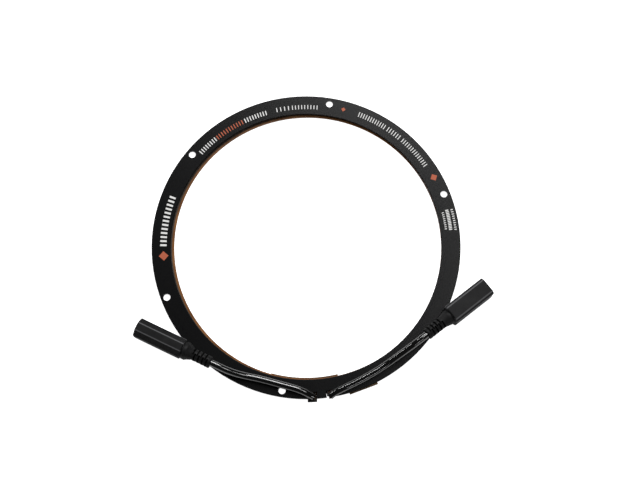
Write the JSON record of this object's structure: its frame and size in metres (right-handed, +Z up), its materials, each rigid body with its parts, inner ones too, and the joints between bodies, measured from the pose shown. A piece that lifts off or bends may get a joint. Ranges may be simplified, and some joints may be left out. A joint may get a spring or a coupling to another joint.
{
  "type": "telescope dew heater ring",
  "caption": "Flat screw-mounted aluminium dew heater ring with a film heater under it and two short leads, one ending in a sensor jack and one in a power socket.",
  "frame": {"origin": "centre of the ring, on the plane that its taped underside rests on", "axes": "+Z up through the ring towards its printed face, both leads leave the ring at -Y, the sensor jack lies to -X and the power socket to +X"},
  "size_m": [0.1674, 0.1463, 0.012],
  "materials": {
    "anodised_ring": "black anodised, fine bead-blasted satin",
    "adhesive": "matte acrylic transfer adhesive",
    "polyimide_film": "smooth amber polyimide film",
    "foil": "etched resistance foil",
    "amber_tape": "smooth polyimide tape",
    "dark_tape": "dark brown tape",
    "moulded_plastic": "matte black moulded plastic",
    "cable_jacket": "glossy black jacket",
    "contact_metal": "plated contact metal",
    "insulator": "black insulator",
    "epoxy": "dark epoxy bead",
    "solder": "solder",
    "red_wire": "red insulation",
    "black_wire": "black insulation",
    "sensor_wire": "thin pale insulation"
  },
  "bodies": {
    "root": {"heater_ring": "anodised_ring", "mounting_adhesive": "adhesive", "heater_cover_film": "polyimide_film", "heater_track": "foil", "heater_base_film": "polyimide_film", "terminal_cover_tape": "amber_tape", "thermistor_tape": "dark_tape", "power_tape": "amber_tape", "thermistor_bead": "epoxy", "solder_joint_positive": "solder", "solder_joint_negative": "solder", "thermistor_lead": "cable_jacket", "power_lead": "cable_jacket", "thermistor_wire_left": "sensor_wire", "thermistor_wire_right": "sensor_wire", "power_wire_positive": "red_wire", "power_wire_negative": "black_wire", "thermistor_jack": "moulded_plastic", "jack_sleeve_bushing": "contact_metal", "jack_insulator": "insulator", "jack_tip_contact": "contact_metal", "power_socket": "moulded_plastic", "socket_shell": "contact_metal", "socket_insulator": "insulator", "socket_pin": "contact_metal"}
  },
  "joints": []
}
